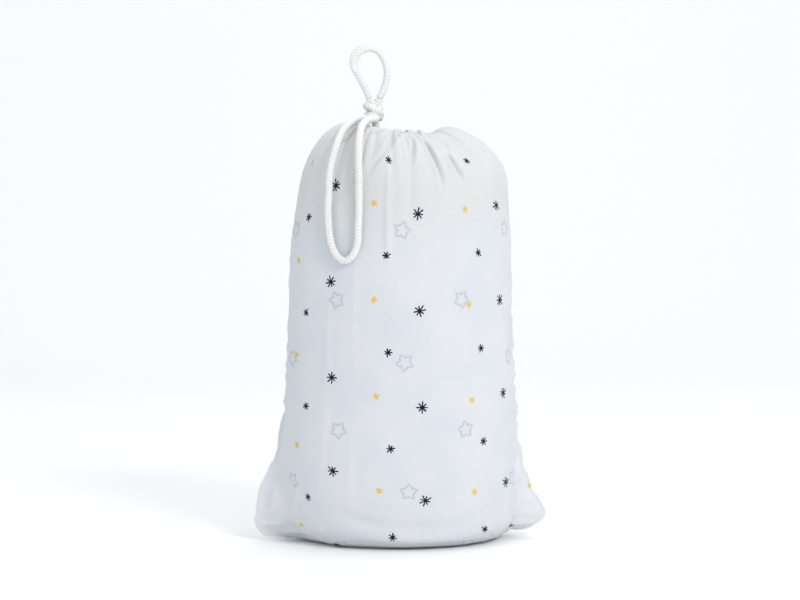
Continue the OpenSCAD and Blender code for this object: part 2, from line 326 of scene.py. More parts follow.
def panel_grid(rows, cols, side):
    """A panel's points. side is -1 for the front and 1 for the back."""
    table, length = outline_rows(rows)
    grid = np.zeros((rows, cols, 3))
    turns = np.radians(np.linspace(-90, 90, 121))
    for i, (d, z, wl, wr, zs, lx, lz, rx, rz) in enumerate(table):
        b = i / (rows - 1)
        bend = 2 + 4 * (1 - smooth(0.12, 0.3, b))
        w = np.where(turns < 0, wl, wr)
        body = np.stack([
            w * np.sin(turns), side * d * np.cos(turns),
            z + (zs - z) * np.abs(np.sin(turns)) ** bend,
        ], axis=1)
        # The cloth leaves the filling along a tangent, and runs nearly straight to each side seam
        t = np.linspace(0, 1, 18)[1:]
        runs = []
        for way, half, seam_x, seam_z in ((-1, wl, lx, lz), (1, wr, rx, rz)):
            leave = half * half / max(seam_x, half + 0.05)
            depth = d * math.sqrt(1 - (leave / half) ** 2)
            height = z + (zs - z) * (leave / half) ** bend
            hollow = 0.10 * (seam_x - half) * np.sin(math.pi * t)
            runs.append(np.stack([
                way * (leave + (seam_x - leave) * t - hollow),
                side * (depth * (1 - t) ** 1.12),
                height + (seam_z - height) * t ** (1 + 0.8 * (1 - smooth(0.0, 0.2, b))),
            ], axis=1))
        scallop = smooth(0.08, 0.14, b) * (1 - smooth(0.55, 0.8, b))
        for run, way, seed in ((runs[0], -1, 81), (runs[1], 1, 82)):
            bump = 2.6 * (0.5 - np.abs(noise_1d(np.array(b * 34 + seed), seed)))
            run[:, 0] += way * bump * scallop * t ** 3
        kept = body[(body[:, 0] > runs[0][0, 0]) & (body[:, 0] < runs[1][0, 0])]
        grid[i] = evenly(np.vstack([runs[0][::-1], kept, runs[1]]), cols)
        # The right shoulder is lower than the left one
        lower = 2.6 * smooth(0.80, 0.95, b) * (1 - smooth(0.975, 1.0, b))
        grid[i, :, 2] -= lower * smooth(0, 0.8 * wr, grid[i, :, 0])
    return grid, length


def pleats(a, b):
    """Height in millimetres of the gathers, fading down from the mouth."""
    down = 1 - b
    wander = 0.35 * noise_2d(a * 3 + 9, b * 4, 4)
    total = np.zeros_like(a)
    for number, reach, height, seed in ((5.5, 0.30, 2.4, 1), (9.5, 0.20, 2.6, 2), (15.0, 0.11, 1.8, 3)):
        phase = number * math.pi * (a + 0.06 * noise_1d(a * number * 0.7 + 40, seed)) + wander + seed
        ridge = np.abs(np.cos(phase)) ** 0.8 - 0.62
        own = 0.75 + 0.5 * noise_1d(a * number + 5 * seed, seed + 20)
        fade = np.clip(1 - down / (reach * own), 0, 1) ** 1.5
        total += height * ridge * fade * own
    return total


# Sharp creases of the front that run down from the mouth, each from (a, b) to (a, b), with a depth
CREASES = [
    (-0.225, 0.960, -0.425, 0.930, 1.8), (0.025, 0.970, -0.300, 0.860, 1.9),
    (0.050, 0.935, 0.025, 0.880, 1.5), (0.175, 0.935, 0.225, 0.835, 2.3),
    (0.340, 0.905, 0.405, 0.848, 2.0), (0.200, 0.980, 0.185, 0.945, 1.6),
    (-0.080, 0.970, -0.190, 0.905, 1.4), (0.290, 0.960, 0.400, 0.915, 1.3),
    (0.470, 0.945, 0.590, 0.900, 0.8), (-0.500, 0.960, -0.640, 0.900, 1.5),
    (0.110, 0.960, 0.125, 0.905, 1.2), (-0.350, 0.900, -0.420, 0.820, 1.1),
]


def creases(a, b):
    """Depth below zero, in millimetres, of the sharp creases and the low ridges beside them."""
    x, y = a * FLAT_W / 2, b * FLAT_H
    total = np.zeros_like(a)
    for a0, b0, a1, b1, depth in CREASES:
        start = np.array((a0 * FLAT_W / 2, b0 * FLAT_H))
        run = np.array((a1 * FLAT_W / 2, b1 * FLAT_H)) - start
        length = np.linalg.norm(run)
        t = np.clip(((x - start[0]) * run[0] + (y - start[1]) * run[1]) / length ** 2, 0, 1)
        sway = 1.2 * np.sin(3 * t + depth * 5)
        off = np.hypot(x - start[0] - run[0] * t - sway, y - start[1] - run[1] * t)
        taper = np.sqrt(np.clip(np.minimum(t * 5, (1 - t) * 1.6), 0, 1))
        total += depth * taper * (0.5 * np.exp(-((off - 3.2) / 2.0) ** 2) - 1.3 * np.exp(-(off / 1.1) ** 2))
    ridge = np.exp(-((a + 0.15 - 0.15 * (0.87 - b)) / 0.022) ** 2)
    return total + 1.3 * ridge * smooth(0.66, 0.74, b) * (1 - smooth(0.84, 0.90, b))


def sag_fold(a, b):
    """A shallow fold that hangs across the foot of the front, with a roll of slack under it."""
    arc = 0.187 + 0.11 * a ** 2 - 0.02 * a
    off = (b - arc) / 0.011
    reach = 1 - smooth(0.25, 0.45, np.abs(a))
    return reach * (-1.6 * np.exp(-off ** 2) + 0.9 * np.exp(-((off + 2.1) / 1.6) ** 2))


def soft_waves(a, b, seed):
    """Slow dents and swells of the filled cloth, and puckers along the side seams."""
    near = smooth(0.62, 1.0, np.abs(a)) * smooth(0.12, 0.2, b) * (1 - smooth(0.72, 0.85, b))
    swell = 1.1 * noise_2d(a * 2.2 + 7, b * 3.1, seed) + 0.5 * noise_2d(a * 5 + 3, b * 6.0 + 2, seed + 1)
    pucker = noise_2d(a * 3 + 11, b * 26, seed + 2) * (1 - 0.5 * smooth(0.3, 0.6, b))
    crumple = noise_2d(a * 7 + b * 9, b * 34 - a * 6, seed + 3) * (1 - smooth(0.3, 0.5, b))
    ear = smooth(0.55, 0.75, np.abs(a)) * smooth(0.02, 0.06, b) * (1 - smooth(0.2, 0.34, b))
    crease = 0.5 - np.abs(noise_2d(a * 5 + b * 6, b * 22 + np.abs(a) * 7, seed + 4))
    folds = np.zeros_like(a)
    for at, lean, high in ((-0.52, 0.06, 0.6), (-0.34, -0.10, 0.4), (0.30, 0.12, 0.25), (0.58, -0.05, 0.5)):
        sway = 0.02 * noise_1d(b * 7 + at * 50 + 60, seed + 5)
        off = (a - at - lean * (b - 0.5) - sway) / 0.024
        high = high * (0.6 + 0.8 * noise_1d(b * 5 + at * 30 + 40, seed + 6))
        folds += high * (np.exp(-off ** 2) - 0.7 * np.exp(-((off - 2) / 1.2) ** 2))
    folds *= smooth(0.2, 0.3, b) * (1 - smooth(0.7, 0.82, b))
    rough = swell * smooth(0.05, 0.2, b) + folds
    return rough + 1.5 * near * pucker + 0.8 * near * crumple + 1.8 * ear * crease


def filling_object():
    """The body that the cloth settles on, a little inside the sack's outline."""
    inset, ring = 1.6, 72
    table, _ = outline_rows(60)
    turns = np.linspace(0, 2 * math.pi, ring, endpoint=False)
    points = []
    for d, z, wl, wr, zs, *_ in table:
        w = np.where(np.cos(turns) < 0, wl, wr)
        points.append(np.stack([
            (w - inset) * np.cos(turns), max(d - inset, 0.2) * np.sin(turns),
            z + (zs - z) * np.abs(np.cos(turns)) ** 2 + (inset if z < 5 else 0),
        ], axis=1))
    material = bpy.data.materials.new("filling")
    faces = grid_faces(len(points), ring, wrap=True)
    return mesh_object("filling", np.concatenate(points), faces, material)


def settle(front, back):
    """Lets the two panels, joined at their seams, settle round the filling by cloth simulation."""
    rows, cols = front.shape[:2]
    own = np.arange(rows * cols).reshape(rows, cols)
    other = own + rows * cols
    other[:, 0], other[:, -1], other[0] = own[:, 0], own[:, -1], own[0]
    used, index = np.unique(np.concatenate([own.ravel(), other.ravel()]), return_inverse=True)
    both = np.concatenate([front.reshape(-1, 3), back.reshape(-1, 3)])
    front_id, back_id = index[:own.size].reshape(own.shape), index[own.size:].reshape(own.shape)
    points = both[used]
    faces = []
    for ids, flip in ((front_id, False), (back_id, True)):
        for i in range(rows - 1):
            for j in range(cols - 1):
                face = [ids[i, j], ids[i, j + 1], ids[i + 1, j + 1], ids[i + 1, j]]
                if len(set(face)) > 2:
                    faces.append([int(k) for k in (face[::-1] if flip else face)])
    material = bpy.data.materials.new("settling")
    cloth = mesh_object("settling", points, faces, material)
    cloth.shape_key_add(name="Basis")
    rest = cloth.shape_key_add(name="rest")
    b_of = np.zeros(len(points))
    a_of = np.zeros(len(points))
    b_grid, a_grid = np.meshgrid(np.linspace(0, 1, rows), np.linspace(-1, 1, cols), indexing="ij")
    for ids in (front_id, back_id):
        b_of[ids], a_of[ids] = b_grid, a_grid
    slack = 1 + 0.02 * (1 - smooth(0.6, 0.8, b_of))
    at_seam = smooth(0.7, 1.0, np.abs(a_of)) * smooth(0.1, 0.16, b_of) * (1 - smooth(0.55, 0.75, b_of))
    wanted = points * slack[:, None]
    wanted[:, 2] += at_seam * 0.07 * points[:, 2]
    rest.data.foreach_set("co", (wanted * MM).ravel())
    group = cloth.vertex_groups.new(name="held")
    for k in range(len(points)):
        tip = smooth(80, 92, abs(points[k][0])) * (1 - smooth(25, 45, points[k][2]))
        weight = max(smooth(0.86, 0.93, b_of[k]), 0.9 * tip)
        if weight > 0:
            group.add([k], float(weight), "REPLACE")
    filling = filling_object()
    filling.modifiers.new("collision", "COLLISION")
    filling.collision.thickness_outer = 0.001
    filling.collision.cloth_friction = 8
    modifier = cloth.modifiers.new("cloth", "CLOTH")
    settings = modifier.settings
    settings.quality = 7
    settings.mass = 0.2
    settings.tension_stiffness = 20
    settings.compression_stiffness = 20
    settings.shear_stiffness = 6
    settings.bending_stiffness = 0.4
    settings.vertex_group_mass = "held"
    settings.pin_stiffness = 1
    settings.use_pressure = True
    settings.uniform_pressure_force = 1.5
    settings.rest_shape_key = rest
    settings.effector_weights.gravity = 0.25
    modifier.collision_settings.distance_min = 0.001
    modifier.collision_settings.collision_quality = 3
    modifier.collision_settings.use_self_collision = False
    scene = bpy.context.scene
    frames = 20
    scene.frame_start, scene.frame_end = 1, frames
    modifier.point_cache.frame_start, modifier.point_cache.frame_end = 1, frames
    for number in range(1, frames + 1):
        scene.frame_set(number)
    shape = cloth.evaluated_get(bpy.context.evaluated_depsgraph_get())
    co = np.zeros(len(shape.data.vertices) * 3)
    shape.data.vertices.foreach_get("co", co)
    moved = co.reshape(-1, 3) / MM - points
    far = np.linalg.norm(moved, axis=1, keepdims=True)
    moved *= np.minimum(1, FARTHEST / np.maximum(far, 1e-9))
    settled = points + moved
    settled[:, 2] = np.maximum(settled[:, 2], 0)
    scene.frame_set(1)
    for piece in (cloth, filling):
        mesh = piece.data
        bpy.data.objects.remove(piece)
        bpy.data.meshes.remove(mesh)
    return settled[front_id], settled[back_id]


def cloth_piece(name, grid, material, side, uvs):
    """A closed sheet of even thickness from a grid that is its outer face."""
    rows, cols = grid.shape[:2]
    normal = grid_normals(grid) * (1 if side < 0 else -1)
    inner = grid - CLOTH_T * normal
    inner[..., 1] = np.where(side * inner[..., 1] < 0.02, side * 0.02, inner[..., 1])
    n = rows * cols
    faces = grid_faces(rows, cols, flip=side > 0)
    faces += [tuple(k + n for k in face[::-1]) for face in faces]
    rim = [(0, j) for j in range(cols)] + [(i, cols - 1) for i in range(1, rows)]
    rim += [(rows - 1, j) for j in range(cols - 2, -1, -1)] + [(i, 0) for i in range(rows - 2, 0, -1)]
    ids = [i * cols + j for i, j in rim]
    for k, m in zip(ids, ids[1:] + ids[:1]):
        face = (m, k, k + n, m + n)
        faces.append(face[::-1] if side > 0 else face)
    points = np.concatenate([grid.reshape(-1, 3), inner.reshape(-1, 3)])
    return mesh_object(name, points, faces, material, np.concatenate([uvs, uvs]))


def make_sack():
    front, length = panel_grid(GRID_ROWS, COLS, -1)
    back, _ = panel_grid(GRID_ROWS, COLS, 1)
    drawn_in = smooth(0.74, 0.88, np.linspace(0, 1, GRID_ROWS))[:, None, None]
    settled = settle(front, back)
    front, back = [new + (old - new) * drawn_in for new, old in zip(settled, (front, back))]
    pieces = []
    rims = []
    for name, grid, side, seed in (("sack_front", front, -1, 30), ("sack_back", back, 1, 60)):
        grid = finer(finer(grid, FINER_UP, 0), FINER_ACROSS, 1)
        rows, cols = grid.shape[:2]
        b, a = np.meshgrid(np.linspace(0, 1, rows), np.linspace(-1, 1, cols), indexing="ij")
        across = np.concatenate([np.zeros((rows, 1)), np.cumsum(
            np.linalg.norm(np.diff(grid, axis=1), axis=2), axis=1)], axis=1)
        half = np.maximum(across[:, -1:] / 2, FLAT_W / 2)
        flat_x = half * (2 * across / across[:, -1:] - 1)
        flat_y = b * length - 6 * (1 - smooth(0.12, 0.32, b))
        normal = grid_normals(grid) * (1 if side < 0 else -1)
        height = pleats(a * -side + (0 if side < 0 else 0.37), b) + soft_waves(a, b, seed)
        if side < 0:
            height = height + sag_fold(a, b) + creases(a, b)
        height = height * (1 - smooth(0.94, 1.0, np.abs(a)) * 0.999) * smooth(0.0, 0.06, b)
        grid = grid + normal * height[..., None]
        grid[..., 1] = np.where(side * grid[..., 1] < SEAM_R, side * SEAM_R, grid[..., 1])
        grid[..., 2] = np.maximum(grid[..., 2], 0)
        grid[0, :, 1] = side * 0.2
        uvs = np.stack([flat_x.ravel(), flat_y.ravel()], axis=1) / MAP_UNIT
        pieces.append(cloth_piece(name, grid, PANEL_GAUZE[side], side, uvs))
        rims.append(grid[-1])
    return pieces, rims, length


def make_casing(rim, side, length):
    """The hem turned in round the cord, gathered like the panel that it belongs to."""
    profile = np.array([
        (20, 257), (20.2, 254.5), (19.9, 251.5), (18.6, 249.7), (16.6, 249.1), (14.9, 249.6),
        (13.9, 251), (13.6, 253.4), (14.1, 255.6), (15.6, 256.9), (17.4, 257.1), (18.8, 256.2),
    ])
    steps = spline(profile, 34)
    cols = len(rim)
    a = np.linspace(-1, 1, cols)
    keep = a > -0.82
    turn = np.arctan2(rim[:, 1], rim[:, 0])
    out = np.hypot(rim[:, 0], rim[:, 1]) - MOUTH_R
    grid = np.zeros((len(steps), cols, 3))
    for i, (r, z) in enumerate(steps):
        inward = i / (len(steps) - 1)
        radius = r + out * (1 - 0.3 * inward)
        grid[i] = np.stack([radius * np.cos(turn), radius * np.sin(turn), 0 * a + z], axis=1)
    grid[0] = rim
    grid = grid[:, keep]
    grid[..., 1] = np.where(side * grid[..., 1] < 0.1, side * 0.1, grid[..., 1])
    b = 1 + along(steps)[:, None] / length
    flat_x = a[keep][None, :] * FLAT_W / 2 / MAP_UNIT
    uvs = np.stack(np.broadcast_arrays(flat_x, b * length / MAP_UNIT), axis=-1)
    name = "casing_front" if side < 0 else "casing_back"
    rows, count = grid.shape[:2]
    faces = grid_faces(rows, count, flip=side > 0)
    return mesh_object(name, grid.reshape(-1, 3), faces, PANEL_GAUZE[side], uvs.reshape(-1, 2))


# ---------------------------------------------------------------- cord


def tube_parts(route, radius, start, around=20, braid=True):
    """Points, faces and places along and around of a braided tube; start is its first point's number."""
    count = len(route)
    tangent = np.gradient(route, axis=0)
    tangent /= np.linalg.norm(tangent, axis=1, keepdims=True)
    across = np.cross(tangent[0], (0.3, 1, 0.2))
    across /= np.linalg.norm(across)
    turns = np.linspace(0, 2 * math.pi, around, endpoint=False)
    s = along(route)
    rings, places = [], []
    lean = np.tanh(3 * np.cos(4 * turns))
    chevron = np.abs(((4 * turns / math.pi) % 2) - 1)
    for i in range(count):
        across = across - tangent[i] * across.dot(tangent[i])
        across /= np.linalg.norm(across)
        up = np.cross(tangent[i], across)
        relief = 0
        if braid:
            strand = math.pi * s[i] / BRAID_PITCH + lean * 1.3 * chevron
            relief = 0.42 * np.abs(np.cos(strand)) ** 0.8 - 0.26 - 0.14 * np.abs(np.cos(2 * turns)) ** 6
        close = min(s[i], s[-1] - s[i]) / radius
        shrink = math.sqrt(max(1 - max(1 - close * 2.5, 0) ** 2, 0.02))
        r = (radius + relief) * shrink
        ring = route[i] + np.outer(np.cos(turns) * r, across) + np.outer(np.sin(turns) * r, up)
        rings.append(ring)
        places.append(np.stack([
            np.full(around, s[i] / CORD_MAP_UNIT), turns / (2 * math.pi),
        ], axis=1))
    points = np.concatenate(rings)
    faces = []
    for i in range(count - 1):
        for j in range(around):
            k = (j + 1) % around
            faces.append(tuple(start + n for n in (
                i * around + j, i * around + k, (i + 1) * around + k, (i + 1) * around + j)))
    faces.append(tuple(start + j for j in range(around))[::-1])
    faces.append(tuple(start + (count - 1) * around + j for j in range(around)))
    return points, faces, np.concatenate(places)


def braided(name, routes, radius=CORD_D / 2):
    """One object of braided cord along several routes."""
    points, faces, places = [], [], []
    start = 0
    for route in routes:
        steps = max(8, int(along(np.array(route, float))[-1] / RING_STEP))
        new_points, new_faces, new_places = tube_parts(spline(route, steps), radius, start)
        points.append(new_points)
        faces += new_faces
        places.append(new_places)
        start += len(new_points)
    return mesh_object(name, np.concatenate(points), faces, CORD_COTTON, np.concatenate(places))


def free_loop(name, route, node, body):
    """A free loop of the cord on its own body."""
    piece = braided(name, [route])
    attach(piece, body)
    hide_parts(node)


def tilted_ring(height, radius, tilt, turn, rise):
    """A wrap of the knot: a ring of cord, tilted across and from front to back."""
    points = []
    for angle in np.radians(np.linspace(turn, turn + 372, 26)):
        x, y = radius * math.cos(angle), radius * 0.96 * math.sin(angle)
        points.append((-18 + x, y, height - tilt * x - rise * y))
    return points


def make_knot():
    """Wraps of the doubled cord round the strands that pass through them."""
    wraps = [
        tilted_ring(279.6, 4.7, 0.62, 60, 0.10),
        tilted_ring(278.0, 4.3, -0.72, 200, -0.12),
        tilted_ring(275.6, 4.0, 0.22, 120, 0.05),
    ]
    core = [
        [(-20.5, 0, 287.5), (-20.0, 0.2, 283.5), (-19.6, 1, 279), (-19.2, 1, 274)],
        [(-14.5, 0, 287.5), (-15.2, 0.2, 283.5), (-16.2, 1, 279), (-16.8, 1, 274)],
        [(-18.0, -2.2, 285.0), (-18.0, -2.0, 280), (-18, -1.5, 275)],
    ]
    legs = [
        [HANGING_ROUTE[0], (-20.6, -7.6, 274.4), (-19.4, -3.5, 276.0), (-18.4, 0, 276.5)],
        [HANGING_ROUTE[-1], (-17.0, -7.4, 274.2), (-17.6, -3.5, 276.0), (-18, 0, 276.5)],
    ]
    return braided("cord_knot", wraps + core + legs)


def make_splice():
    """The cord's own end, laid back along the standing loop where the two are worked together."""
    line = spline(STANDING_ROUTE, 60)[14:33]
    middle = np.array((-20.0, -0.5, 305.0))
    out = line - middle
    out /= np.linalg.norm(out, axis=1, keepdims=True)
    away = 2.3 * np.sin(np.linspace(0.15, math.pi - 0.15, len(line))) ** 0.6
    splice = braided("cord_splice", [line + out * away[:, None] + (0, -0.5, 0)], 1.75)
    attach(splice, "upper_loop")
    return splice


def make_cords():
    """Every visible run of the cord, and the run inside the casing."""
    knot = make_knot()
    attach(knot, "tied_cord")
    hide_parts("knot")
    low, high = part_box("cord_strands")
    x = (low.x + high.x) / 2 / MM
    y = high.y / MM - CORD_D / 2
    rises = []
    for side in (-1, 1):
        foot = [(x, side * y, low.z / MM), (x, side * y, 262)]
        rises.append(foot + [(x - 1, side * (y - 0.2), 270), (x - 2.5, side * 2, 277)])
    strands = braided("cord_rise", rises)
    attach(strands, "tied_cord")
    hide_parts("cord_strands")
    splice = make_splice()
    free_loop("standing_cord_loop", STANDING_ROUTE, "standing_loop", "upper_loop")
    free_loop("hanging_cord_loop", HANGING_ROUTE, "hanging_loop", "lower_loop")
    low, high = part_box("drawcord")
    ring_r = high.x / MM - CORD_D / 2
    height = (low.z + high.z) / 2 / MM
    gap = math.degrees(math.asin((5.35) / ring_r))
    turns = np.radians(np.linspace(-180 + gap, 180 - gap, 60))
    ring = [(ring_r * math.cos(t), ring_r * math.sin(t), height) for t in turns]
    held = braided("drawcord_in_casing", [ring])
    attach(held, "sack")
    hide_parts("drawcord")


# ---------------------------------------------------------------- materials


class Graph:
    """Builds a material's nodes from short calls."""

    def __init__(self, name):
        self.material = bpy.data.materials.new(name)
        self.material.use_nodes = True
        self.tree = self.material.node_tree
        self.shader = self.tree.nodes["Principled BSDF"]
        self.output = self.tree.nodes["Material Output"]

    def node(self, kind, **values):
        made = self.tree.nodes.new(kind)
        for key, value in values.items():
            setattr(made, key, value)
        return made

    def feed(self, socket, value):
        if hasattr(value, "is_linked"):
            self.tree.links.new(value, socket)
        else:
            socket.default_value = value

    def math(self, operation, *values):
        made = self.node("ShaderNodeMath", operation=operation)
        for socket, value in zip(made.inputs, values):
            self.feed(socket, value)
        return made.outputs[0]

    def flat(self):
        """The cloth's own flat coordinates, in millimetres across and up."""
        uv = self.node("ShaderNodeUVMap", uv_map="flat")
        parts = self.node("ShaderNodeSeparateXYZ")
        self.feed(parts.inputs[0], uv.outputs[0])
        return [self.math("MULTIPLY", place, MAP_UNIT) for place in parts.outputs[:2]]

    def join(self, x, y, z=0.0):
        made = self.node("ShaderNodeCombineXYZ")
        for socket, value in zip(made.inputs, (x, y, z)):
            self.feed(socket, value)
        return made.outputs[0]

    def noise(self, vector, scale, detail=2.0, roughness=0.5):
        made = self.node("ShaderNodeTexNoise")
        self.feed(made.inputs["Vector"], vector)
        made.inputs["Scale"].default_value = scale
        made.inputs["Detail"].default_value = detail
        made.inputs["Roughness"].default_value = roughness
        return made.outputs["Fac"]

    def random(self, x, y, seed):
        made = self.node("ShaderNodeTexWhiteNoise", noise_dimensions="3D")
        self.feed(made.inputs["Vector"], self.join(x, y, seed))
        return made.outputs["Value"]

    def ramp(self, value, low, high, to_low=0.0, to_high=1.0):
        made = self.node("ShaderNodeMapRange", interpolation_type="SMOOTHSTEP")
        for socket, given in zip(made.inputs, (value, low, high, to_low, to_high)):
            self.feed(socket, given)
        return made.outputs[0]

    def mix(self, amount, first, second):
        made = self.node("ShaderNodeMix", data_type="RGBA")
        self.feed(made.inputs[0], amount)
        self.feed(made.inputs[6], first)
        self.feed(made.inputs[7], second)
        return made.outputs[2]


def cell(g, value, start, size):
    """The number of the print cell that a place is in, and how far the place is from its middle."""
    number = g.math("ROUND", g.math("DIVIDE", g.math("SUBTRACT", value, start), size))
    rest = g.math("SUBTRACT", g.math("SUBTRACT", value, start), g.math("MULTIPLY", number, size))
    return number, rest


def burst(g, x, y, at, rises, radius, rays, width, seed):
    """A hand-drawn burst of thin rays, once in each print cell. Every third column is alike."""
    column, dx = cell(g, x, at[0], PRINT_ACROSS)
    step = g.math("FLOORED_MODULO", column, 3.0)
    third = g.math("GREATER_THAN", step, 1.5)
    second = g.math("SUBTRACT", g.math("GREATER_THAN", step, 0.5), third)
    rise = g.math("ADD", g.math("MULTIPLY", second, rises[0]), g.math("MULTIPLY", third, rises[1]))
    dx = g.math("SUBTRACT", dx, g.math("MULTIPLY", third, 4.5))
    row, dy = cell(g, g.math("SUBTRACT", y, rise), at[1], PRINT_UP)
    chance = g.random(column, row, seed)
    far = g.math("SQRT", g.math("ADD", g.math("MULTIPLY", dx, dx), g.math("MULTIPLY", dy, dy)))
    turn = g.math("ADD", g.math("ARCTAN2", dy, dx), g.math("MULTIPLY", chance, 6.0))
    sector = 2 * math.pi / rays
    ray = g.math("ROUND", g.math("DIVIDE", turn, sector))
    off = g.math("SUBTRACT", turn, g.math("MULTIPLY", ray, sector))
    length = g.random(g.math("ADD", ray, g.math("MULTIPLY", column, 7.0)), row, seed + 3.0)
    reach = g.math("MULTIPLY", g.math("ADD", g.math("MULTIPLY", length, 0.35), 0.72), radius)
    bend = g.math("ABSOLUTE", g.math("MULTIPLY", g.math("SINE", off), far))
    on_ray = g.ramp(bend, width * 0.55, width, 1.0, 0.0)
    inside = g.ramp(far, g.math("MULTIPLY", reach, 0.88), reach, 1.0, 0.0)
    heart = g.ramp(far, width * 1.3, width * 2.2, 1.0, 0.0)
    return g.math("MAXIMUM", g.math("MULTIPLY", on_ray, inside), heart)


def ghost_star(g, x, y, at, repeat, radius, seed):
    """Faint outline of a five-pointed star on the cloth underneath."""
    column, dx = cell(g, x, at[0], repeat)
    row, dy = cell(g, y, at[1], repeat)
    chance = g.random(column, row, seed)
    far = g.math("SQRT", g.math("ADD", g.math("MULTIPLY", dx, dx), g.math("MULTIPLY", dy, dy)))
    turn = g.math("ADD", g.math("ARCTAN2", dy, dx), g.math("MULTIPLY", chance, 3.0))
    sector = 2 * math.pi / 5
    ray = g.math("ROUND", g.math("DIVIDE", turn, sector))
    off = g.math("ABSOLUTE", g.math("SUBTRACT", turn, g.math("MULTIPLY", ray, sector)))
    inner = radius * 0.58
    half = sector / 2
    bottom = g.math("ADD", g.math("MULTIPLY", g.math("SINE", off), radius),
                    g.math("MULTIPLY", g.math("SINE", g.math("SUBTRACT", half, off)), inner))
    edge = g.math("DIVIDE", radius * inner * math.sin(half), bottom)
    gap = g.math("ABSOLUTE", g.math("SUBTRACT", far, edge))
    return g.ramp(gap, 0.2, 1.5, 1.0, 0.0)


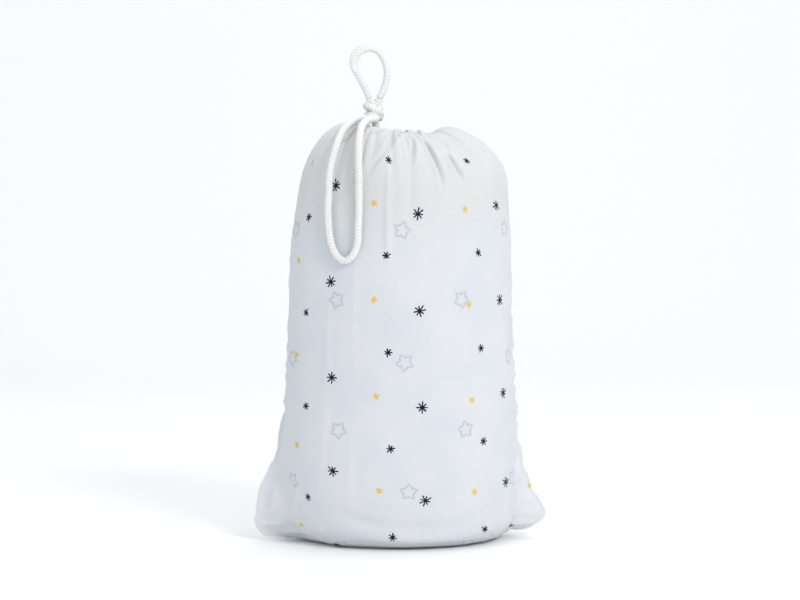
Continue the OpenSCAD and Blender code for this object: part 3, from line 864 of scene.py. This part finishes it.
def make_gauze(name, side):
    """Printed gauze, with stars of the cloth underneath that show faintly through it."""
    g = Graph(name)
    x, y = g.flat()
    place = g.join(x, y)
    wobble = g.noise(place, 0.35, 2.0)
    shift = g.math("MULTIPLY", g.math("SUBTRACT", wobble, 0.5), 0.9)
    lean = g.math("MULTIPLY", g.math("SUBTRACT", y, PRINT_AT[1]), 0.03)
    px = g.math("ADD", g.math("ADD", x, shift), lean)
    py = g.math("ADD", y, shift)
    big_at = (PRINT_AT[0], PRINT_AT[1]) if side < 0 else (PRINT_AT[0] + 19, PRINT_AT[1] + 11)
    big = burst(g, px, py, big_at, (5.0, 18.0), 4.4, 8, 0.60, 1.0)
    small = burst(g, px, py, (big_at[0] - 20.5, big_at[1] - 26.0), (1.0, 24.0), 3.0, 7, 0.58, 5.0)
    yellow = burst(g, px, py, (big_at[0] - 29.0, big_at[1] + 7.0), (-4.0, 24.0), 2.7, 6, 0.62, 9.0)
    navy = g.math("MINIMUM", g.math("ADD", big, small), 1.0)
    ghosts = g.math("MAXIMUM",
                    ghost_star(g, px, py, (GHOST_AT[0], GHOST_AT[1]), 83.0, 5.6, 2.0),
                    ghost_star(g, px, py, (GHOST_AT[0] + 39.0, GHOST_AT[1] - 44.0), 83.0, 5.6, 4.0))
    worn = g.noise(place, 0.9, 3.0)
    ghosts = g.math("MULTIPLY", ghosts, g.ramp(worn, 0.2, 0.5))
    ghosts = g.math("MULTIPLY", ghosts, g.ramp(y, 262.0, 272.0, 1.0, 0.0))

    slub = g.noise(g.join(g.math("MULTIPLY", x, 0.05), g.math("MULTIPLY", y, 1.4)), 1.0, 3.0)
    warp = g.noise(g.join(g.math("MULTIPLY", x, 1.6), g.math("MULTIPLY", y, 0.05)), 1.0, 3.0)
    cloud = g.noise(place, 0.03, 3.0)
    thread_x = g.math("SINE", g.math("MULTIPLY", x, 2 * math.pi / 0.8))
    thread_y = g.math("SINE", g.math("MULTIPLY", y, 2 * math.pi / 0.8))
    weave = g.math("MULTIPLY", thread_x, thread_y)
    threads = g.math("ADD", g.math("ADD", slub, warp), g.math("MULTIPLY", weave, 0.25))

    base = g.mix(g.ramp(cloud, 0.35, 0.65), (0.79, 0.83, 0.875, 1), (0.845, 0.865, 0.89, 1))
    neck = g.ramp(g.math("ADD", y, g.math("MULTIPLY", cloud, 30.0)), 250.0, 292.0)
    # Painted light: the thin lower corners by the side seams are made lighter, where light comes through
    # them from behind
    low_down = g.ramp(y, 110.0, 150.0, 1.0, 0.0)
    painted_backlight_corner = g.math("MULTIPLY", g.ramp(g.math("ABSOLUTE", x), 78.0, 104.0), low_down)
    base = g.mix(painted_backlight_corner, base, (0.85, 0.87, 0.90, 1))
    base = g.mix(neck, base, (0.80, 0.81, 0.815, 1))
    base = g.mix(g.ramp(threads, 0.7, 1.35, 0.0, 0.5), base, (0.88, 0.885, 0.90, 1))
    turn = 2 * math.pi / 2.2
    one_way = g.math("SINE", g.math("MULTIPLY", g.math("ADD", x, y), turn))
    other_way = g.math("SINE", g.math("MULTIPLY", g.math("SUBTRACT", x, y), turn))
    patch = g.ramp(g.noise(g.join(x, y, 40.0), 0.022, 1.0), 0.50, 0.62)
    aside = g.ramp(g.math("ABSOLUTE", x), 55.0, 85.0)
    low_side = g.math("MULTIPLY", aside, g.ramp(y, 130.0, 170.0, 1.0, 0.0))
    open_weave = g.math("MULTIPLY", g.ramp(g.math("MULTIPLY", one_way, other_way), 0.0, 0.5),
                        g.math("MAXIMUM", g.math("MULTIPLY", patch, 0.5), low_side))
    base = g.mix(g.math("MULTIPLY", open_weave, 0.4), base, (0.92, 0.93, 0.945, 1))
    base = g.mix(g.math("MULTIPLY", ghosts, 0.6), base, (0.50, 0.56, 0.64, 1))
    ink = g.ramp(g.noise(place, 2.2, 2.0), 0.2, 0.45, 0.9, 1.0)
    base = g.mix(g.math("MULTIPLY", navy, ink), base, (0.001, 0.006, 0.040, 1))
    base = g.mix(g.math("MULTIPLY", yellow, 0.9), base, (0.88, 0.62, 0.05, 1))
    g.feed(g.shader.inputs["Base Color"], base)
    g.feed(g.shader.inputs["Roughness"], g.ramp(threads, 0.6, 1.4, 0.82, 0.95))
    g.shader.inputs["Sheen Weight"].default_value = 0.05
    g.shader.inputs["Sheen Roughness"].default_value = 0.6
    g.shader.inputs["Specular IOR Level"].default_value = 0.2
    bump = g.node("ShaderNodeBump")
    bump.inputs["Strength"].default_value = 0.35
    bump.inputs["Distance"].default_value = 0.0004
    crinkle = g.noise(g.join(g.math("MULTIPLY", x, 0.7), y), 0.35, 4.0, 0.6)
    g.feed(bump.inputs["Height"], g.math("ADD", g.math("MULTIPLY", threads, 0.5), crinkle))
    g.feed(g.shader.inputs["Normal"], bump.outputs[0])
    through = g.node("ShaderNodeBsdfTranslucent")
    g.feed(through.inputs["Color"], base)
    g.feed(through.inputs["Normal"], bump.outputs[0])
    blend = g.node("ShaderNodeMixShader")
    blend.inputs[0].default_value = 0.28
    g.feed(blend.inputs[1], g.shader.outputs[0])
    g.feed(blend.inputs[2], through.outputs[0])
    g.feed(g.output.inputs["Surface"], blend.outputs[0])
    return g.material


def painted_braid_shade(g):
    """Painted shade in the grooves between the strands of a braid, from the cord's places along and around
    it.
    """
    uv = g.node("ShaderNodeUVMap", uv_map="flat")
    parts = g.node("ShaderNodeSeparateXYZ")
    g.feed(parts.inputs[0], uv.outputs[0])
    lengthwise = g.math("MULTIPLY", parts.outputs[0], CORD_MAP_UNIT * math.pi / BRAID_PITCH)
    round_it = g.math("MULTIPLY", parts.outputs[1], 8 * math.pi)
    way = g.math("SIGN", g.math("COSINE", round_it))
    wave = g.math("FLOORED_MODULO", g.math("DIVIDE", round_it, math.pi), 2.0)
    chevron = g.math("ABSOLUTE", g.math("SUBTRACT", wave, 1.0))
    phase = g.math("ADD", lengthwise, g.math("MULTIPLY", g.math("MULTIPLY", way, chevron), 1.3))
    return g.ramp(g.math("ABSOLUTE", g.math("COSINE", phase)), 0.05, 0.6, 1.0, 0.0)


def make_cotton(name, colour, dark, scale, bump_depth, braid=False):
    """Plain soft cotton with loose fibres, for cord, thread and seams, with painted shade in a braid's
    grooves when braid is set.
    """
    g = Graph(name)
    coordinates = g.node("ShaderNodeTexCoord")
    place = coordinates.outputs["Object"]
    fibres = g.noise(place, scale, 4.0, 0.65)
    patches = g.noise(place, scale * 0.12, 2.0)
    base = g.mix(g.ramp(fibres, 0.3, 0.62), dark, colour)
    base = g.mix(g.ramp(patches, 0.4, 0.7, 0.0, 0.25), base, dark)
    if braid:
        # Painted shade: the grooves between the braid's strands are darkened in the colour
        base = g.mix(g.math("MULTIPLY", painted_braid_shade(g), 0.6), base, (0.50, 0.50, 0.49, 1))
    g.feed(g.shader.inputs["Base Color"], base)
    g.feed(g.shader.inputs["Roughness"], g.ramp(fibres, 0.2, 0.8, 0.78, 0.95))
    g.shader.inputs["Sheen Weight"].default_value = 0.2
    g.shader.inputs["Specular IOR Level"].default_value = 0.2
    bump = g.node("ShaderNodeBump")
    bump.inputs["Strength"].default_value = 0.5
    bump.inputs["Distance"].default_value = bump_depth
    g.feed(bump.inputs["Height"], fibres)
    g.feed(g.shader.inputs["Normal"], bump.outputs[0])
    return g.material


# ---------------------------------------------------------------- the rest of the pieces


def make_seams(edges):
    """Rolled seam edges along the sides and the base, each on a line of the cloth's edge."""
    for name, node, route in edges:
        steps = max(20, int(along(route)[-1] / 1.2))
        line = evenly(route, steps)
        points, faces, places = tube_parts(line, SEAM_R, 0, around=8, braid=False)
        piece = mesh_object(name, points, faces, SEAM_COTTON, places)
        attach(piece, "sack")
        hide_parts(node)


def make_blanket():
    """A blanket folded in upright layers that fill the sack."""
    low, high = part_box("folded_blanket")
    half_w, half_d = high.x / MM - 1.5, high.y / MM - 1
    bottom, top = low.z / MM + 0.5, high.z / MM - 1
    layers, rings, ring_size, power = 7, 26, 40, 0.35
    thick = 2 * half_d / layers
    points, faces = [], []
    for n in range(layers):
        y = -half_d + thick * (n + 0.5)
        edge = min(abs(y) + thick / 2, half_d * 0.985)
        w = half_w * math.sqrt(1 - (edge / half_d) ** 2 * 0.96)
        h = (top - bottom) * (1 - 0.12 * (y / half_d) ** 2) / 2
        start = len(points)
        for i in range(rings):
            v = math.pi * (i / (rings - 1) - 0.5)
            for j in range(ring_size):
                u = 2 * math.pi * j / ring_size
                cu, su = math.cos(u), math.sin(u)
                cv, sv = math.cos(v), math.sin(v)
                flat_u = (abs(cu) ** power * math.copysign(1, cu), abs(su) ** 0.8 * math.copysign(1, su))
                ring = abs(cv) ** power
                points.append((
                    w * 0.97 * flat_u[0] * ring,
                    y + thick * 0.49 * flat_u[1] * abs(cv) ** 0.6,
                    bottom + h + h * abs(sv) ** 0.8 * math.copysign(1, sv) * (1 - 0.10 * abs(flat_u[0])),
                ))
        for i in range(rings - 1):
            for j in range(ring_size):
                k = (j + 1) % ring_size
                faces.append((start + i * ring_size + j, start + i * ring_size + k,
                              start + (i + 1) * ring_size + k, start + (i + 1) * ring_size + j))
    piece = mesh_object("blanket_layers", points, faces, BLANKET_GAUZE)
    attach(piece, "sack")
    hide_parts("folded_blanket")


def dress_cad(node, material):
    """Gives a carried-over CAD piece its material."""
    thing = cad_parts[node]
    thing.data.materials.clear()
    thing.data.materials.append(material)


make_camera()
make_lights()
make_floor()
PANEL_GAUZE = {-1: make_gauze("front_gauze", -1), 1: make_gauze("back_gauze", 1)}
CORD_COTTON = make_cotton("cord_cotton", (0.86, 0.86, 0.85, 1), (0.76, 0.76, 0.75, 1), 1400.0, 0.0002, True)
SEAM_COTTON = make_cotton("seam_cotton", (0.84, 0.86, 0.89, 1), (0.72, 0.75, 0.80, 1), 700.0, 0.0002)
THREAD_COTTON = make_cotton("thread_cotton", (0.9, 0.9, 0.89, 1), (0.75, 0.75, 0.74, 1), 1500.0, 0.0001)
BLANKET_GAUZE = make_cotton("blanket_gauze", (0.82, 0.85, 0.89, 1), (0.70, 0.74, 0.80, 1), 500.0, 0.0004)
make_cords()
(sack_front, sack_back), rims, cloth_length = make_sack()
for piece, node, side, rim in (
    (sack_front, "front", -1, rims[0]), (sack_back, "back", 1, rims[1]),
):
    casing = make_casing(rim, side, cloth_length)
    for made, cad in ((piece, node + "_panel"), (casing, node + "_casing")):
        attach(made, "sack")
        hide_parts(cad)
dress_cad("casing_stitching", THREAD_COTTON)
dress_cad("cord_opening_tacks", THREAD_COTTON)
front = sack_front.data
co = np.zeros(len(front.vertices) * 3)
front.vertices.foreach_get("co", co)
cols = (COLS - 1) * FINER_ACROSS + 1
rows = (GRID_ROWS - 1) * FINER_UP + 1
outer = co.reshape(-1, 3)[:rows * cols].reshape(rows, cols, 3) / MM
edges = []
for name, node, line in (
    ("side_seam_left", "left_side_seam", outer[:, 0]),
    ("side_seam_right", "right_side_seam", outer[:, -1]),
    ("base_seam", "bottom_seam", outer[0]),
):
    line = line.copy()
    line[:, 1] = 0
    line[:, 2] = np.maximum(line[:, 2], 0.8)
    edges.append((name, node, line))
make_seams(edges)
make_blanket()
